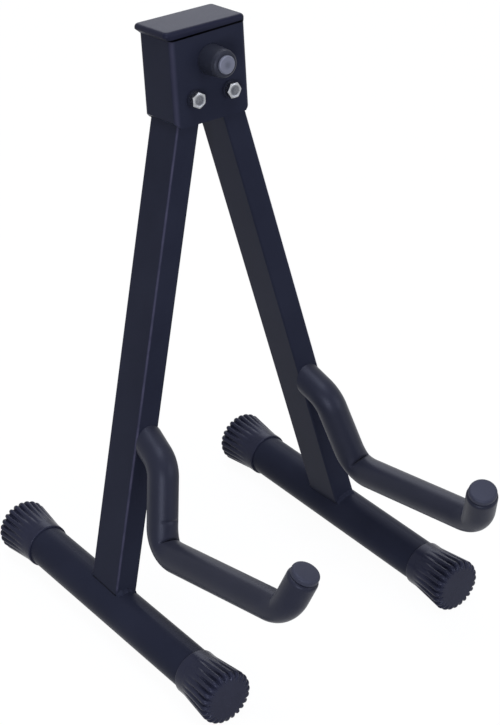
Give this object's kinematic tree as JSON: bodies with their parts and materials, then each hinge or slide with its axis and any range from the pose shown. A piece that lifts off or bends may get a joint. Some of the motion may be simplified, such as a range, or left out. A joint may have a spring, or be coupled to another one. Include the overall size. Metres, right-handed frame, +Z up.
{
  "type": "folding instrument stand",
  "caption": "Folding A-frame floor stand with two hinged flat-tube legs, ribbed rubber feet and foam-sleeved cradle arms for a small stringed instrument.",
  "frame": {"origin": "on the floor, under the middle of the open stand's box", "axes": "+Z up, -Y towards the front where the cradle arms reach, +X to the right seen from the front"},
  "size_m": [0.2002, 0.2568, 0.3444],
  "materials": {
    "black_paint": "satin powder coat, near black with a blue cast",
    "cap_plastic": "fine-grained moulded plastic, near black",
    "foot_rubber": "moulded rubber, semi-gloss",
    "sleeve_foam": "smooth-skinned foam tubing",
    "plug_rubber": "moulded rubber, matte",
    "black_washer": "black-coated steel",
    "zinc_steel": "bright zinc plate",
    "bare_steel": "plain turned and cut steel",
    "knob_plastic": "moulded plastic, near black",
    "disc_grey": "grey moulded plastic"
  },
  "bodies": {
    "head": {"head_bracket": "black_paint", "head_cap": "cap_plastic", "left_pivot_bolt": "zinc_steel", "left_front_washer": "black_washer", "left_rear_washer": "black_washer", "left_lock_nut": "zinc_steel", "left_pivot_bush": "bare_steel", "right_pivot_bolt": "zinc_steel", "right_front_washer": "black_washer", "right_rear_washer": "black_washer", "right_lock_nut": "zinc_steel", "right_pivot_bush": "bare_steel", "lock_barrel": "bare_steel", "lock_spring": "bare_steel"},
    "left_leg": {"left_leg_tube": "black_paint", "left_lock_plate": "bare_steel", "left_foot_tube": "black_paint", "left_front_weld": "black_paint", "left_rear_weld": "black_paint", "left_front_foot_cap": "foot_rubber", "left_rear_foot_cap": "foot_rubber", "left_arm_rod": "bare_steel", "left_arm_sleeve": "sleeve_foam", "left_arm_end_plug": "plug_rubber"},
    "right_leg": {"right_leg_tube": "black_paint", "right_lock_plate": "bare_steel", "right_foot_tube": "black_paint", "right_front_weld": "black_paint", "right_rear_weld": "black_paint", "right_front_foot_cap": "foot_rubber", "right_rear_foot_cap": "foot_rubber", "right_arm_rod": "bare_steel", "right_arm_sleeve": "sleeve_foam", "right_arm_end_plug": "plug_rubber"},
    "lock": {"lock_pin": "bare_steel", "lock_knob": "knob_plastic", "knob_disc": "disc_grey"}
  },
  "joints": [
    {"name": "left_leg_fold", "type": "hinge", "parent": "head", "child": "left_leg", "pos_m": [-0.0117, 0.05441, 0.30415], "axis": [0, -0.996, 0.0889], "range_deg": [0, 12.4]},
    {"name": "right_leg_fold", "type": "hinge", "parent": "head", "child": "right_leg", "pos_m": [0.0117, 0.05441, 0.30415], "axis": [0, 0.996, -0.0889], "range_deg": [0, 12.4]},
    {"name": "lock_pull", "type": "slide", "parent": "head", "child": "lock", "axis": [0, -0.996, 0.0889], "range_m": [0, 0.0057], "deforming": ["lock_spring"]}
  ],
  "couplings": [
    {"joint": "right_leg_fold", "follows": "left_leg_fold", "ratio": 1},
    {"joint": "lock_pull", "follows": "left_leg_fold", "m_per_rad": 0.02592}
  ]
}
